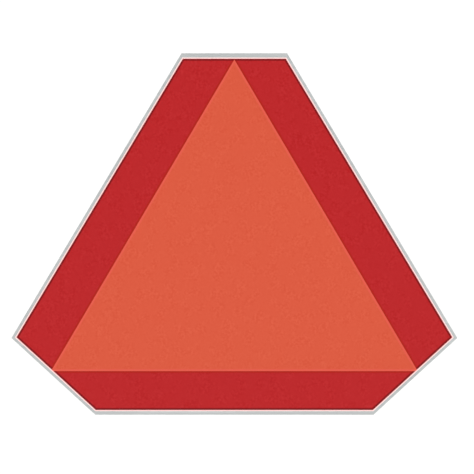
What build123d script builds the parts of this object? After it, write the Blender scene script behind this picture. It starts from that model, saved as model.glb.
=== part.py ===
from build123d import *
import os
from math import sqrt

# Slow moving vehicle sign: a flat six-cornered aluminium plate that carries a white reflective
# sheet, three strips of dark red film and a fluorescent orange triangle laid edge to edge.
# Millimetres. The origin is the middle of the plate's back face, +Z is up, and the face that
# traffic sees looks along -Y.

# Plate outline
plate_height = 355.6
plate_width = 438.6
top_edge_length = 103.8
bottom_edge_length = 273.7
shoulder_height = 75.5  # the two widest corners, above the bottom edge

# Plate section
plate_thickness = 1.0
plate_corner_radius = 1.0
plate_edge_radius = 0.2

# Bare metal left round the films along each edge, and the white line just inside it, which is
# counted in these margins
top_margin = 5.7
side_margin = 4.1
cut_margin = 4.1
bottom_margin = 4.9
white_line_width = 1.3

# Films
sheet_thickness = 0.3
film_thickness = 0.2
sheet_corner_radius = 0.8
film_corner_radius = 0.5
film_joint = 0.05  # hairline left between the triangle and each strip beside it

# Dark red strips, and the fluorescent triangle whose apex stops just short of the films' top edge
bottom_strip_width = 38.1
side_strip_width = 46.1  # at the triangle's foot, square to the plate's side
apex_inset = 0.7

# Depths of the stack, measured forwards from the back face
plate_front = Plane.XZ.offset(plate_thickness)
sheet_front = plate_front.offset(sheet_thickness)

# The plate's three corners on the reader's right, as (x, z)
top_corner = Vector(top_edge_length / 2, plate_height / 2)
shoulder = Vector(plate_width / 2, shoulder_height - plate_height / 2)
bottom_corner = Vector(bottom_edge_length / 2, -plate_height / 2)


def edge_line(low, high, inset):
    """The right-hand edge from low to high, moved inwards by inset, as x = start + slope * z."""
    slope = (high.X - low.X) / (high.Y - low.Y)
    return low.X - slope * low.Y - inset * sqrt(1 + slope**2), slope


def outline_corners(top_inset, side_inset, cut_inset, bottom_inset):
    """The sign's six corners, anticlockwise, with each edge moved inwards by its own inset."""
    side_start, side_slope = edge_line(shoulder, top_corner, side_inset)
    cut_start, cut_slope = edge_line(bottom_corner, shoulder, cut_inset)
    top_z = top_corner.Y - top_inset
    shoulder_z = (cut_start - side_start) / (side_slope - cut_slope)
    bottom_z = bottom_corner.Y + bottom_inset
    right = [
        (cut_start + cut_slope * bottom_z, bottom_z),
        (side_start + side_slope * shoulder_z, shoulder_z),
        (side_start + side_slope * top_z, top_z),
    ]
    left = [(-x, z) for x, z in reversed(right)]
    return right + left


# The outlines of the coloured films and of the white sheet under them
margins = (top_margin, side_margin, cut_margin, bottom_margin)
film_corners = outline_corners(*margins)
sheet_corners = outline_corners(*[margin - white_line_width for margin in margins])

# The triangle's corners before its lower tips are trimmed. Its foot stands on the bottom strip.
foot_z = bottom_corner.Y + bottom_margin + bottom_strip_width
inner_start, inner_slope = edge_line(shoulder, top_corner, side_margin + side_strip_width)
foot_right = Vector(inner_start + inner_slope * foot_z, foot_z)
foot_left = Vector(-foot_right.X, foot_z)
apex = Vector(0, top_corner.Y - top_margin - apex_inset)
middle = (apex + foot_left + foot_right) / 3

# Aluminium plate, sheared to its outline and deburred on both faces
with BuildPart() as backing_plate:
    with BuildSketch(Plane.XZ) as plate_outline:
        Polygon(*outline_corners(0, 0, 0, 0))
        fillet(plate_outline.vertices(), plate_corner_radius)
    extrude(amount=plate_thickness)
    front_and_back = backing_plate.faces().filter_by(Axis.Y)
    fillet(front_and_back.edges(), plate_edge_radius)
backing_plate.part.label = "backing_plate"

# White reflective sheet, which shows as a thin line round the colours
with BuildPart() as white_sheet:
    with BuildSketch(plate_front) as sheet_outline:
        Polygon(*sheet_corners)
        fillet(sheet_outline.vertices(), sheet_corner_radius)
    extrude(amount=sheet_thickness)
white_sheet.part.label = "white_sheet"

# Fluorescent triangle, its lower tips trimmed by the films' outline
with BuildPart() as orange_triangle:
    with BuildSketch(sheet_front) as film_outline:
        Polygon(*film_corners)
        fillet(film_outline.vertices(), film_corner_radius)
        Polygon(apex, foot_left, foot_right, mode=Mode.INTERSECT)
    extrude(amount=film_thickness)
orange_triangle.part.label = "orange_triangle"

# The triangle and the hairline joint round it, which the strips stay clear of
with BuildSketch() as triangle_and_joint:
    Polygon(apex, foot_left, foot_right)
    offset(amount=film_joint, kind=Kind.INTERSECTION)


def red_strip(start, end):
    """The dark red strip outside the triangle's side from start to end, mitred at its corners."""
    past_the_plate = plate_width + plate_height
    sector = [middle + (corner - middle).normalized() * past_the_plate for corner in (start, end)]
    with BuildPart() as strip:
        with BuildSketch(sheet_front) as strip_outline:
            Polygon(*film_corners)
            fillet(strip_outline.vertices(), film_corner_radius)
            Polygon(middle, *sector, mode=Mode.INTERSECT)
            add(triangle_and_joint.sketch, mode=Mode.SUBTRACT)
        extrude(amount=film_thickness)
    return strip.part


# Dark red reflective strips, one along each side of the triangle
red_strips = {
    "red_strip_left": red_strip(apex, foot_left),
    "red_strip_bottom": red_strip(foot_left, foot_right),
    "red_strip_right": red_strip(foot_right, apex),
}
for name, strip in red_strips.items():
    strip.label = name

# One STEP file for each piece
os.makedirs("parts", exist_ok=True)
for piece in (backing_plate.part, white_sheet.part, orange_triangle.part, *red_strips.values()):
    export_step(piece, f"parts/{piece.label}.step")
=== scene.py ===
"""Finishes, stage and camera of a slow moving vehicle sign.

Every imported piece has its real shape, so it keeps its mesh and gets a finish here: rolled
aluminium for the plate, and smooth bead-filled films for the white sheet, the dark red strips
and the fluorescent triangle. Lengths are in metres in the part's own frame, where the coloured
face looks along -Y and +Z is up.
"""

import logging
import math
from dataclasses import dataclass
from enum import Enum

import bpy
from mathutils import Color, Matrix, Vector
from mathutils.geometry import convex_hull_2d


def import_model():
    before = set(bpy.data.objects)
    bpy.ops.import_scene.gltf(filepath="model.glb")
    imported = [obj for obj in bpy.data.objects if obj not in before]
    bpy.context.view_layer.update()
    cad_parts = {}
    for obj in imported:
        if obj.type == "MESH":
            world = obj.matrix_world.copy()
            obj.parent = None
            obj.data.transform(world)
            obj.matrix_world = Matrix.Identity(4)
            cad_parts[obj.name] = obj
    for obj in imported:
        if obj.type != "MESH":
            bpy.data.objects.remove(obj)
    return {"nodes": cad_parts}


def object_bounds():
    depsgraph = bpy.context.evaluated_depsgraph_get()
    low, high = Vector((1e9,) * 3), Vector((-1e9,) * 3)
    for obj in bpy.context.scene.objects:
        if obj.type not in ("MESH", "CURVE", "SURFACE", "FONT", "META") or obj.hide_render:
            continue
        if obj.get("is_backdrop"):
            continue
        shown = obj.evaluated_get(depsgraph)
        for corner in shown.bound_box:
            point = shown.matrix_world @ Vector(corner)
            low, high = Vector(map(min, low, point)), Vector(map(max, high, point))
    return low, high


LOG = logging.getLogger("sign")
MM = 0.001
SHORTEST_SIDE = 10 * MM  # every outline's straight sides are longer, its corners' edges shorter
NOISE_SPAN = (0.3, 0.7)  # where nearly all of a noise texture's values lie

FLOAT = "NodeSocketFloat"
VECTOR = "NodeSocketVector"

Colour = tuple[float, float, float, float]
Socket = bpy.types.NodeSocket
Nodes = dict[str, bpy.types.Object]


def display(red: int, green: int, blue: int) -> Colour:
    """Turn a colour as a screen shows it, from 0 to 255, into the light that it stands for."""
    shown = Color((red / 255, green / 255, blue / 255))
    return (*shown.from_srgb_to_scene_linear(), 1.0)


class Graph:
    """Adds nodes to one shader tree and feeds their inputs."""

    def __init__(self, tree: bpy.types.NodeTree) -> None:
        """Keep the tree, which is a material's, a world's or a group's."""
        self.tree = tree

    def add(
        self, kind: str, inputs: dict[str | int, object] | None = None, **settings: object
    ) -> bpy.types.Node:
        """Add a node.

        Args:
            kind: The node's type, such as ShaderNodeMath.
            inputs: A value or another node's socket for each input that isn't left alone.
            settings: The node's own settings, such as operation.

        Returns:
            The new node.
        """
        node = self.tree.nodes.new(kind)
        for name, value in settings.items():
            setattr(node, name, value)
        for name, value in (inputs or {}).items():
            self.feed(node.inputs[name], value)
        return node

    def feed(self, socket: Socket, value: object) -> None:
        """Link a socket to another one, or set its value.

        Args:
            socket: The input to feed.
            value: Another node's output, or a plain value.
        """
        if isinstance(value, bpy.types.NodeSocket):
            self.tree.links.new(value, socket)
        else:
            socket.default_value = value

    def group(self, tree: bpy.types.NodeTree, inputs: dict[str, object]) -> bpy.types.Node:
        """Place a node group.

        Args:
            tree: The group.
            inputs: A value or a socket for each of its inputs.

        Returns:
            The group's node.
        """
        node = self.add("ShaderNodeGroup", node_tree=tree)
        for name, value in inputs.items():
            self.feed(node.inputs[name], value)
        return node

    def calculate(self, operation: str, first: object, second: object = 0.0) -> Socket:
        """Work out an operation of the Math node on two values or sockets."""
        return self.add("ShaderNodeMath", {0: first, 1: second}, operation=operation).outputs[0]

    def mean(self, *values: Socket) -> Socket:
        """Average some values.

        Args:
            values: The sockets with the values.

        Returns:
            The socket with their mean.
        """
        total = values[0]
        for value in values[1:]:
            total = self.calculate("ADD", total, value)
        return self.calculate("DIVIDE", total, len(values))

    def ramp(
        self, value: Socket, span: tuple[object, object], ends: tuple[float, float] = (0.0, 1.0)
    ) -> Socket:
        """Turn a span of a value into what lies between two ends, with a soft start and finish.

        Args:
            value: The socket with the value.
            span: Where the change begins and where it is complete.
            ends: What comes out before the span and after it.

        Returns:
            The socket with the result.
        """
        inputs = {
            "Value": value,
            "From Min": span[0],
            "From Max": span[1],
            "To Min": ends[0],
            "To Max": ends[1],
        }
        return self.add("ShaderNodeMapRange", inputs, interpolation_type="SMOOTHSTEP").outputs[0]

    def mix(self, share: Socket, first: object, second: object) -> Socket:
        """Mix two colours, with a share of the second from 0 to 1."""
        colour_inputs = {0: share, 6: first, 7: second}  # by number, because their names repeat
        return self.add("ShaderNodeMix", colour_inputs, data_type="RGBA").outputs[2]

    def noise(self, place: Socket, scale: object, detail: float) -> Socket:
        """Sample a noise texture, whose values lie round 0.5."""
        inputs = {"Vector": place, "Scale": scale, "Detail": detail}
        return self.add("ShaderNodeTexNoise", inputs).outputs[0]


class Surface(Graph):
    """The graph of a new material, with its shader."""

    def __init__(self, name: str) -> None:
        """Make the material.

        Args:
            name: The material's name.
        """
        self.material = bpy.data.materials.new(name)
        self.material.use_nodes = True
        super().__init__(self.material.node_tree)
        self.shader = self.tree.nodes["Principled BSDF"]

    def place(self) -> Socket:
        """Give the place on the piece, in the part's own frame."""
        return self.add("ShaderNodeTexCoord").outputs["Object"]

    def give(self, label: str, value: object) -> None:
        """Link or set one of the shader's own inputs."""
        self.feed(self.shader.inputs[label], value)

    def bump(self, height: Socket, distance: float, over: Socket | None = None) -> Socket:
        """Turn a height into a normal.

        Args:
            height: The height, as a share of the distance.
            distance: How far a height of 1 stands out.
            over: The normal that the bumps are laid over, if it isn't the mesh's own.

        Returns:
            The socket with the normal.
        """
        inputs = {"Height": height, "Distance": distance, "Strength": 1.0}
        if over is not None:
            inputs["Normal"] = over
        return self.add("ShaderNodeBump", inputs).outputs[0]


class Effect:
    """A node group under construction, with named inputs and outputs."""

    def __init__(self, name: str, inputs: dict[str, str], outputs: dict[str, str]) -> None:
        """Start an empty group.

        Args:
            name: The group's name.
            inputs: Each input's name and socket type.
            outputs: Each output's name and socket type.
        """
        self.tree = bpy.data.node_groups.new(name, "ShaderNodeTree")
        for direction, sockets in (("INPUT", inputs), ("OUTPUT", outputs)):
            for label, kind in sockets.items():
                self.tree.interface.new_socket(label, in_out=direction, socket_type=kind)
        self.graph = Graph(self.tree)
        self.given = self.graph.add("NodeGroupInput").outputs
        self.results = self.graph.add("NodeGroupOutput").inputs

    def give(self, label: str, value: Socket) -> None:
        """Feed one of the group's outputs."""
        self.graph.feed(self.results[label], value)


def bead_grain() -> bpy.types.NodeTree:
    """Build the grain of fine glass beads under a clear face film.

    The beads gather in clumps, and the clumps show more strongly in some patches than in others.

    Returns:
        A group that takes a Place, a Bead Size and a Clump Size, and gives a Tone round 0.5 and
        a Height from 0 to 2.
    """
    clumps_to_a_patch = 5.0
    patch_span = (0.35, 0.7)  # of the patches' noise, over which the clumps grow stronger
    strengths = (0.6, 3.0)  # of the clumps, in the faintest and the strongest patches
    even_tone = 0.5

    effect = Effect(
        "bead_grain",
        {"Place": VECTOR, "Bead Size": FLOAT, "Clump Size": FLOAT},
        {"Tone": FLOAT, "Height": FLOAT},
    )
    graph, place = effect.graph, effect.given["Place"]
    beads = graph.calculate("DIVIDE", 1.0, effect.given["Bead Size"])
    clumps = graph.calculate("DIVIDE", 1.0, effect.given["Clump Size"])
    patches = graph.calculate("DIVIDE", clumps, clumps_to_a_patch)
    cells = graph.add("ShaderNodeTexVoronoi", {"Vector": place, "Scale": beads}).outputs["Distance"]
    cloud = graph.noise(place, clumps, detail=1.0)
    patch = graph.noise(place, patches, detail=0.0)

    strength = graph.ramp(patch, patch_span, strengths)
    swing = graph.calculate("MULTIPLY", graph.calculate("SUBTRACT", cloud, even_tone), strength)
    effect.give("Tone", graph.calculate("ADD", swing, even_tone))
    effect.give("Height", graph.calculate("ADD", cloud, cells))
    return effect.tree


def soft_cloud() -> bpy.types.NodeTree:
    """Build the broad, faint unevenness that any rolled or laminated sheet has.

    Returns:
        A group that takes a Place and a Patch Size, and gives a Tone from 0 to 1.
    """
    effect = Effect("soft_cloud", {"Place": VECTOR, "Patch Size": FLOAT}, {"Tone": FLOAT})
    graph, given = effect.graph, effect.given
    patches = graph.calculate("DIVIDE", 1.0, given["Patch Size"])
    noise = graph.noise(given["Place"], patches, detail=3.0)
    effect.give("Tone", graph.ramp(noise, NOISE_SPAN))
    return effect.tree


def edge_line() -> bpy.types.NodeTree:
    """Build a line of even width that runs along an outline.

    Returns:
        A group that takes the Distance from the outline and where the line begins to fade and
        ends, and gives a Mask that is 1 on the line.
    """
    effect = Effect(
        "edge_line",
        {"Distance": FLOAT, "Fade From": FLOAT, "Fade To": FLOAT},
        {"Mask": FLOAT},
    )
    graph, given = effect.graph, effect.given
    away = graph.calculate("ABSOLUTE", given["Distance"])
    effect.give("Mask", graph.ramp(away, (given["Fade From"], given["Fade To"]), (1.0, 0.0)))
    return effect.tree


@dataclass(frozen=True)
class Side:
    """One straight side of an outline, seen square on, as its inward normal and its start."""

    inward: Vector
    start: float

    @classmethod
    def between(cls, first: Vector, second: Vector, middle: Vector) -> "Side":
        """Make the side between two corners.

        Args:
            first: One corner, as x and z.
            second: The other corner.
            middle: A point well inside the outline.

        Returns:
            The side.
        """
        along = (second - first).normalized()
        inward = Vector((-along.y, along.x))
        if inward.dot(middle - first) < 0:
            inward.negate()
        return cls(inward, -inward.dot(first))


class Outline(Enum):
    """The outlines that finishes measure to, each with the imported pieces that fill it."""

    PLATE = ("backing_plate",)
    FILMS = ("red_strip_left", "red_strip_bottom", "red_strip_right")
    TRIANGLE = ("orange_triangle",)

    def sides(self, nodes: Nodes) -> list[Side]:
        """Read the outline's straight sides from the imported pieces.

        Args:
            nodes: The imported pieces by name.

        Returns:
            The sides, without the small rounded or trimmed corners between them.
        """
        points = [Vector((v.co.x, v.co.z)) for name in self.value for v in nodes[name].data.vertices]
        hull = [points[i] for i in convex_hull_2d(points)]
        middle = sum(hull, Vector((0, 0))) / len(hull)
        pairs = zip(hull, hull[1:] + hull[:1])
        return [Side.between(a, b, middle) for a, b in pairs if (b - a).length > SHORTEST_SIDE]

    def distance(self, nodes: Nodes) -> bpy.types.NodeTree:
        """Build the distance from any point to the outline.

        Args:
            nodes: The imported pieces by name.

        Returns:
            A group that takes a Place and gives a Distance, above 0 inside the outline.
        """
        effect = Effect(f"{self.name.lower()}_distance", {"Place": VECTOR}, {"Distance": FLOAT})
        graph, place = effect.graph, effect.given["Place"]
        nearest = None
        for side in self.sides(nodes):
            inputs = {0: place, 1: (side.inward.x, 0.0, side.inward.y)}
            reach = graph.add("ShaderNodeVectorMath", inputs, operation="DOT_PRODUCT").outputs["Value"]
            inside = graph.calculate("ADD", reach, side.start)
            nearest = inside if nearest is None else graph.calculate("MINIMUM", nearest, inside)
        effect.give("Distance", nearest)
        return effect.tree


class Effects:
    """The node groups that the finishes share, each built once."""

    def __init__(self, nodes: Nodes) -> None:
        """Build every group.

        Args:
            nodes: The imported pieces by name.
        """
        self.beads = bead_grain()
        self.cloud = soft_cloud()
        self.line = edge_line()
        self.distance = {outline: outline.distance(nodes) for outline in Outline}


@dataclass(frozen=True)
class Hairline:
    """A thin line of another colour along an outline, on both sides of it.

    It keeps its full colour up to fade_from, as a distance from the outline, and is gone at
    fade_to. Where within names another outline, the line shows only inside that one.
    """

    outline: Outline
    colour: Colour
    fade_from: float
    fade_to: float
    within: Outline | None = None

    def paint(self, surface: Surface, effects: Effects, place: Socket, under: Socket) -> Socket:
        """Lay the line over a colour.

        Args:
            surface: The material's graph.
            effects: The shared groups.
            place: The place on the piece.
            under: The colour under the line.

        Returns:
            The socket with both colours.
        """
        away = surface.group(effects.distance[self.outline], {"Place": place}).outputs["Distance"]
        inputs = {"Distance": away, "Fade From": self.fade_from, "Fade To": self.fade_to}
        mask = surface.group(effects.line, inputs).outputs["Mask"]
        if self.within:
            inside = surface.group(effects.distance[self.within], {"Place": place}).outputs["Distance"]
            mask = surface.calculate("MULTIPLY", mask, surface.calculate("GREATER_THAN", inside, 0.0))
        return surface.mix(mask, under, self.colour)


@dataclass(frozen=True)
class FilmFinish:
    """A smooth clear face over coloured, bead-filled film."""

    name: str
    deep: Colour
    pale: Colour
    hairlines: tuple[Hairline, ...] = ()
    painted_glow: float = 0.0  # painted glow: light the film gives off in its own colour, standing in for light it throws back, as a share of its colour
    bead_size: float = 0.45 * MM
    bead_height: float = 0.004 * MM
    clump_size: float = 2.2 * MM
    patch_size: float = 55 * MM
    ripple_height: float = 0.03 * MM
    roughness: tuple[float, float] = (0.2, 0.27)
    specular_level: float = 0.15

    def material(self, effects: Effects) -> bpy.types.Material:
        """Make the film's material.

        Args:
            effects: The shared groups.

        Returns:
            The material.
        """
        surface = Surface(self.name)
        place = surface.place()
        sizes = {"Place": place, "Bead Size": self.bead_size, "Clump Size": self.clump_size}
        beads = surface.group(effects.beads, sizes).outputs
        sizes = {"Place": place, "Patch Size": self.patch_size}
        cloud = surface.group(effects.cloud, sizes).outputs["Tone"]

        colour = surface.mix(beads["Tone"], self.deep, self.pale)
        for hairline in self.hairlines:
            colour = hairline.paint(surface, effects, place, colour)
        surface.give("Base Color", colour)
        surface.give("Roughness", surface.ramp(cloud, (0.0, 1.0), self.roughness))
        surface.give("Specular IOR Level", self.specular_level)
        # Painted glow: the film gives off light of its own colour, though it is no lamp.
        if self.painted_glow:
            surface.give("Emission Color", colour)
            surface.give("Emission Strength", self.painted_glow)

        ripple = surface.bump(cloud, self.ripple_height)
        surface.give("Normal", surface.bump(beads["Height"], self.bead_height, ripple))
        return surface.material


@dataclass(frozen=True)
class RolledAluminium:
    """Bare mill finish sheet, with fine lines along its rolling direction and sheared edges."""

    name: str = "rolled_aluminium"
    deep: Colour = display(179, 182, 182)
    pale: Colour = display(214, 217, 217)
    roughness: tuple[float, float] = (0.42, 0.6)
    patch_size: float = 120 * MM

    # Rolling lines, and the broader bands among them
    line_width: float = 1.1 * MM
    line_length: float = 140 * MM
    line_height: float = 0.002 * MM
    band_width: float = 6 * MM
    band_length: float = 600 * MM

    # The deburred rim, and the dull part of the cut edges, as depths from the back face
    rim: Colour = display(222, 223, 222)
    rim_width: float = 0.35 * MM
    sheared: Colour = display(128, 129, 128)
    sheared_depths: tuple[float, float] = (0.16 * MM, 0.72 * MM)
    sheared_raggedness: float = 0.1 * MM
    sheared_grain: float = 0.3 * MM

    def lines(self, surface: Surface, place: Socket, width: float, length: float) -> Socket:
        """Draw lines of uneven strength along X.

        Args:
            surface: The material's graph.
            place: The place on the plate.
            width: A line's width.
            length: About how long a line runs before it changes.

        Returns:
            The socket with the lines' tone, from 0 to 1.
        """
        inputs = {0: place, 1: (1 / length, 1 / width, 1 / width)}
        stretched = surface.add("ShaderNodeVectorMath", inputs, operation="MULTIPLY").outputs[0]
        return surface.ramp(surface.noise(stretched, scale=1.0, detail=2.0), NOISE_SPAN)

    def sheared_mask(self, surface: Surface, place: Socket) -> Socket:
        """Find the dull part of the plate's cut edges, behind the part that the blade polished.

        Args:
            surface: The material's graph.
            place: The place on the plate.

        Returns:
            The socket that is 1 where the metal broke away and 0 on the faces.
        """
        nearest, furthest = self.sheared_depths
        ragged_span = (furthest - self.sheared_raggedness, furthest + self.sheared_raggedness)
        across = surface.add("ShaderNodeSeparateXYZ", {"Vector": place}).outputs["Y"]
        depth = surface.calculate("MULTIPLY", across, -1.0)
        grain = surface.noise(place, 1 / self.sheared_grain, detail=2.0)
        ragged = surface.ramp(grain, NOISE_SPAN, ragged_span)
        past_rim = surface.calculate("GREATER_THAN", depth, nearest)
        before_polish = surface.calculate("LESS_THAN", depth, ragged)
        return surface.calculate("MULTIPLY", past_rim, before_polish)

    def material(self, effects: Effects) -> bpy.types.Material:
        """Make the plate's material.

        Args:
            effects: The shared groups.

        Returns:
            The material.
        """
        surface = Surface(self.name)
        place = surface.place()
        fine = self.lines(surface, place, self.line_width, self.line_length)
        broad = self.lines(surface, place, self.band_width, self.band_length)
        sizes = {"Place": place, "Patch Size": self.patch_size}
        cloud = surface.group(effects.cloud, sizes).outputs["Tone"]
        uneven = surface.mean(fine, broad, cloud)

        colour = surface.mix(uneven, self.deep, self.pale)
        rim = Hairline(Outline.PLATE, self.rim, fade_from=0.0, fade_to=self.rim_width)
        colour = rim.paint(surface, effects, place, colour)
        colour = surface.mix(self.sheared_mask(surface, place), colour, self.sheared)
        surface.give("Base Color", colour)
        surface.give("Roughness", surface.ramp(uneven, NOISE_SPAN, self.roughness))
        surface.give("Metallic", 1.0)
        surface.give("Normal", surface.bump(fine, self.line_height))
        return surface.material


WHITE_FILM = FilmFinish(
    name="white_reflective_film",
    deep=display(245, 221, 218),
    pale=display(252, 229, 226),
    hairlines=(
        Hairline(Outline.FILMS, display(255, 199, 196), fade_from=0.1 * MM, fade_to=1.3 * MM),
        # Painted shade in the narrow gap where the triangle meets the strips, laid on the white sheet
        # under it.
        Hairline(
            Outline.TRIANGLE,
            display(140, 24, 16),
            fade_from=0.3 * MM,
            fade_to=0.5 * MM,
            within=Outline.FILMS,
        ),
    ),
    # Painted glow on the white sheet, standing in for the light that reflective film sends back.
    painted_glow=0.14,
)
RED_FILM = FilmFinish(
    name="dark_red_reflective_film",
    deep=display(182, 21, 25),
    pale=display(192, 36, 40),
    hairlines=(
        # Painted shade: a slightly darker band where the strips meet the triangle, and a dark band
        # along their outer cut edges.
        Hairline(Outline.TRIANGLE, display(177, 26, 12), fade_from=1.0 * MM, fade_to=2.4 * MM),
        Hairline(Outline.FILMS, display(127, 2, 10), fade_from=1.25 * MM, fade_to=2.45 * MM),
    ),
)
ORANGE_FILM = FilmFinish(
    name="fluorescent_film",
    deep=display(213, 81, 54),
    pale=display(218, 91, 64),
    hairlines=(
        # Painted highlight: a lighter band along the triangle's edges.
        Hairline(Outline.TRIANGLE, display(225, 89, 72), fade_from=1.2 * MM, fade_to=2.6 * MM),
    ),
    # Painted glow that keeps the fluorescent film bright where less light falls on it.
    painted_glow=0.04,
)


def dress(piece: bpy.types.Object, material: bpy.types.Material) -> None:
    """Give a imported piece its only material, and report it.

    Args:
        piece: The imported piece.
        material: Its finish.
    """
    piece.data.materials.clear()
    piece.data.materials.append(material)
    LOG.info("%s: %s, %d faces", piece.name, material.name, len(piece.data.polygons))


@dataclass
class Plate:
    """The six-cornered aluminium plate that carries the films."""

    piece: str = "backing_plate"
    finish: RolledAluminium = RolledAluminium()

    def dress(self, nodes: Nodes, effects: Effects) -> None:
        """Finish the plate."""
        dress(nodes[self.piece], self.finish.material(effects))


@dataclass
class Films:
    """The white sheet, and the strips and triangle that lie edge to edge on it."""

    sheet: tuple[str, ...] = ("white_sheet",)
    triangle: tuple[str, ...] = ("orange_triangle",)
    strips: tuple[str, ...] = ("red_strip_left", "red_strip_bottom", "red_strip_right")

    def dress(self, nodes: Nodes, effects: Effects) -> None:
        """Finish every film.

        Args:
            nodes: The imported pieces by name.
            effects: The shared groups.
        """
        finishes = ((self.sheet, WHITE_FILM), (self.triangle, ORANGE_FILM), (self.strips, RED_FILM))
        for pieces, finish in finishes:
            material = finish.material(effects)
            for piece in pieces:
                dress(nodes[piece], material)


@dataclass(frozen=True)
class SoftLight:
    """A far, broad studio light, with an even fall over the whole sign.

    Angles are in degrees. Azimuth 0 is in front of the coloured face, and 90 is to the right of
    someone who reads the sign.
    """

    name: str
    azimuth: float
    elevation: float
    strength: float
    spread: float = 60.0

    def build(self) -> None:
        """Hang the light."""
        data = bpy.data.lights.new(self.name, "SUN")
        data.energy = self.strength
        data.angle = math.radians(self.spread)
        light = bpy.data.objects.new(self.name, data)
        bpy.context.scene.collection.objects.link(light)
        turn, tilt = math.radians(self.azimuth), math.radians(90 - self.elevation)
        light.rotation_euler = (tilt, 0, turn)


@dataclass(frozen=True)
class Studio:
    """The pale floor, the white surroundings and the soft lights."""

    floor_drop: float = 0.30
    floor_reach: float = 40.0
    floor_colour: Colour = display(244, 244, 243)
    floor_roughness: float = 0.9

    # The surroundings: what the camera sees, and what lights the sign instead. That darkens from
    # the horizon up to the sky, which begins at a height given as the sine of its elevation.
    backdrop: Colour = (1.05, 1.05, 1.05, 1.0)
    horizon: Colour = (0.95, 0.95, 0.95, 1.0)
    sky: Colour = (0.4, 0.4, 0.4, 1.0)
    sky_height: float = 0.8

    lights: tuple[SoftLight, ...] = (
        SoftLight("front_left_light", azimuth=-38, elevation=40, strength=0.26),
        SoftLight("front_right_light", azimuth=38, elevation=40, strength=0.26),
        SoftLight("overhead_light", azimuth=0, elevation=90, strength=1.5),
        SoftLight("back_light", azimuth=150, elevation=40, strength=0.4),
    )

    def build(self, base: float) -> None:
        """Build the stage.

        Args:
            base: The sign's lowest height.
        """
        self.build_floor(base - self.floor_drop)
        self.build_surroundings()
        for light in self.lights:
            light.build()
        LOG.info("stage: floor, surroundings and %d lights", len(self.lights))

    def build_floor(self, height: float) -> None:
        """Lay the floor.

        Args:
            height: The floor's height.
        """
        reach = self.floor_reach
        corners = [(x * reach, y * reach, height) for x, y in ((-1, -1), (1, -1), (1, 1), (-1, 1))]
        mesh = bpy.data.meshes.new("floor")
        mesh.from_pydata(corners, [], [(0, 1, 2, 3)])
        floor = bpy.data.objects.new("floor", mesh)
        bpy.context.scene.collection.objects.link(floor)

        surface = Surface("pale_floor")
        surface.give("Base Color", self.floor_colour)
        surface.give("Roughness", self.floor_roughness)
        surface.give("Specular IOR Level", 0.0)
        mesh.materials.append(surface.material)
        floor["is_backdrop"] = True

    def build_surroundings(self) -> None:
        """Make the surroundings, which light the sign softly and look plain white."""
        world = bpy.data.worlds.new("surroundings")
        bpy.context.scene.world = world
        world.use_nodes = True
        world.node_tree.nodes.clear()
        graph = Graph(world.node_tree)
        towards = graph.add("ShaderNodeTexCoord").outputs["Generated"]
        height = graph.add("ShaderNodeSeparateXYZ", {"Vector": towards}).outputs["Z"]
        light = graph.mix(graph.ramp(height, (0.0, self.sky_height)), self.horizon, self.sky)
        seen = graph.add("ShaderNodeLightPath").outputs["Is Camera Ray"]
        background = graph.add("ShaderNodeBackground", {"Color": graph.mix(seen, light, self.backdrop)})
        graph.add("ShaderNodeOutputWorld", {"Surface": background.outputs[0]})


@dataclass(frozen=True)
class PhotographersCamera:
    """A camera square on to the sign, placed so that the sign falls where the photograph has it."""

    lens_mm: float = 90.0
    sensor_mm: float = 36.0
    picture_px: float = 474.0
    sign_height_px: float = 361.9
    sign_centre_px: tuple[float, float] = (234.35, 233.95)

    def build(self, low: Vector, high: Vector) -> None:
        """Place the camera.

        Args:
            low: The sign's lowest corner.
            high: The sign's highest corner.
        """
        per_px = (high.z - low.z) / self.sign_height_px
        distance = per_px * self.picture_px * self.lens_mm / self.sensor_mm
        right, down = (self.picture_px / 2 - at for at in self.sign_centre_px)
        middle = (low + high) / 2
        data = bpy.data.cameras.new("camera")
        data.lens = self.lens_mm
        data.sensor_width = self.sensor_mm
        camera = bpy.data.objects.new("camera", data)
        bpy.context.scene.collection.objects.link(camera)
        camera.location = (middle.x + right * per_px, low.y - distance, middle.z - down * per_px)
        camera.rotation_euler = (math.radians(90), 0, 0)
        bpy.context.scene.camera = camera
        LOG.info("camera: %.3f m in front of the sign", distance)


def main() -> None:
    """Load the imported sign, finish each sub-assembly and set the stage."""
    logging.basicConfig(level=logging.INFO, format="%(name)s: %(message)s")
    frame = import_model()
    cad_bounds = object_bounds()
    low, high = cad_bounds
    bpy.context.scene.view_settings.view_transform = "Standard"

    PhotographersCamera().build(low, high)
    Studio().build(low.z)

    nodes = frame["nodes"]
    effects = Effects(nodes)
    Plate().dress(nodes, effects)
    Films().dress(nodes, effects)


if __name__ == "__main__":
    main()
